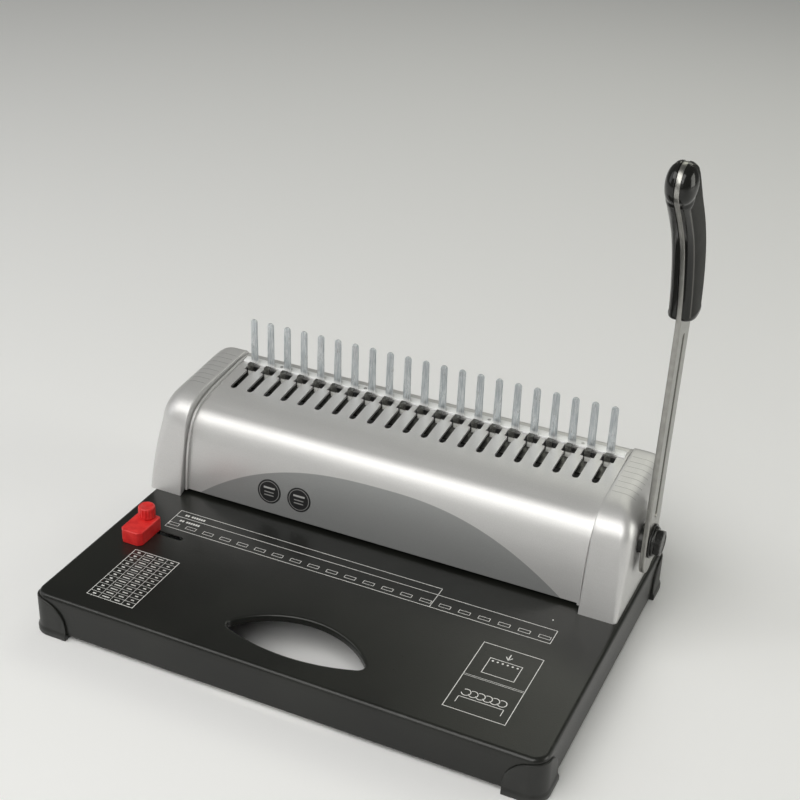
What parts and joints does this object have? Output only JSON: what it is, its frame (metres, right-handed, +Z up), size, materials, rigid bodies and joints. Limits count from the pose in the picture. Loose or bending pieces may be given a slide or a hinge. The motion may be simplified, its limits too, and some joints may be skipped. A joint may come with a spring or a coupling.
{
  "type": "comb binding machine",
  "caption": "Desk comb binding machine: sheet steel base, silver punch head with upright tines and hooks, side lever with a curved grip, sliding paper stop and chip tray.",
  "frame": {"origin": "on the table under the middle of the outline of the whole machine", "axes": "+X to the right along the row of tines, +Y to the rear, +Z up"},
  "size_m": [0.3822, 0.2592, 0.3571],
  "materials": {
    "base_paint": "satin black powder coat",
    "foot_plastic": "moulded black",
    "silver_plastic": "satin silver",
    "zinc_plate": "zinc plated",
    "plain_steel": "bright",
    "tool_steel": "ground",
    "bush_bronze": "plain",
    "dark_fastener": "black oxide",
    "lever_steel": "nickel plated",
    "grip_plastic": "gloss black with matt panels",
    "stop_plastic": "red",
    "tray_plastic": "moulded dark grey"
  },
  "bodies": {
    "machine": {"base_tray": "base_paint", "foot_front_left": "foot_plastic", "foot_front_right": "foot_plastic", "foot_rear_left": "foot_plastic", "foot_rear_right": "foot_plastic", "left_end_cap": "silver_plastic", "right_end_cap": "silver_plastic", "top_cover": "silver_plastic", "comb_plate": "zinc_plate", "comb_rivets": "plain_steel", "cover_rail": "plain_steel", "rail_screws": "plain_steel", "cap_screws": "plain_steel", "left_side_frame": "plain_steel", "right_side_frame": "plain_steel", "frame_screws": "plain_steel", "throat_spacer": "plain_steel", "guide_posts": "plain_steel", "rake_studs": "plain_steel", "left_tray_runner": "plain_steel", "right_tray_runner": "plain_steel", "return_springs": "plain_steel", "die_plate": "tool_steel", "guide_plate": "tool_steel", "left_bush": "bush_bronze", "right_bush": "bush_bronze", "cover_screws": "dark_fastener", "die_screws": "dark_fastener", "block_screws": "dark_fastener"},
    "lever": {"drive_shaft": "plain_steel", "left_cam": "tool_steel", "middle_cam": "tool_steel", "right_cam": "tool_steel", "cam_pins": "plain_steel", "left_rake_crank": "tool_steel", "right_rake_crank": "tool_steel", "shaft_collar": "plain_steel", "lever_sleeve": "plain_steel", "lever_bar": "lever_steel", "lever_washer": "plain_steel", "lever_bolt": "dark_fastener", "inner_grip": "grip_plastic", "outer_grip": "grip_plastic", "grip_screws": "plain_steel"},
    "punch": {"punch_bar": "tool_steel", "punches": "tool_steel"},
    "rake": {"rake": "zinc_plate"},
    "edge_stop": {"edge_stop": "stop_plastic", "stop_nut": "plain_steel"},
    "stop_knob": {"stop_knob": "stop_plastic", "stop_screw": "plain_steel"},
    "chip_tray": {"chip_tray": "tray_plastic"}
  },
  "joints": [
    {"name": "lever_pull", "type": "hinge", "parent": "machine", "child": "lever", "pos_m": [0, 0.061, 0.0775], "axis": [1, 0, 0], "range_deg": [0, 80], "stiffness_Nm_per_rad": 0.6, "springref_deg": -22.92},
    {"name": "punch_stroke", "type": "slide", "parent": "machine", "child": "punch", "axis": [0, 0, -1], "range_m": [0, 0.0095], "deforming": ["return_springs"]},
    {"name": "rake_slide", "type": "slide", "parent": "machine", "child": "rake", "axis": [0, -0.9952, -0.0976], "range_m": [0, 0.0225]},
    {"name": "edge_stop_slide", "type": "slide", "parent": "machine", "child": "edge_stop", "axis": [1, 0, 0], "range_m": [-0.004, 0.027]},
    {"name": "stop_knob_turn", "type": "hinge", "parent": "edge_stop", "child": "stop_knob", "pos_m": [-0.1609, -0.0282, 0.0427], "axis": [0, 0, 1], "range_deg": [0, 270]},
    {"name": "chip_tray_slide", "type": "slide", "parent": "machine", "child": "chip_tray", "axis": [0, 1, 0], "range_m": [0, 0.07]}
  ],
  "couplings": [
    {"joint": "punch_stroke", "follows": "lever_pull", "m_per_rad": 0.0066},
    {"joint": "rake_slide", "follows": "lever_pull", "m_per_rad": 0.015727}
  ]
}
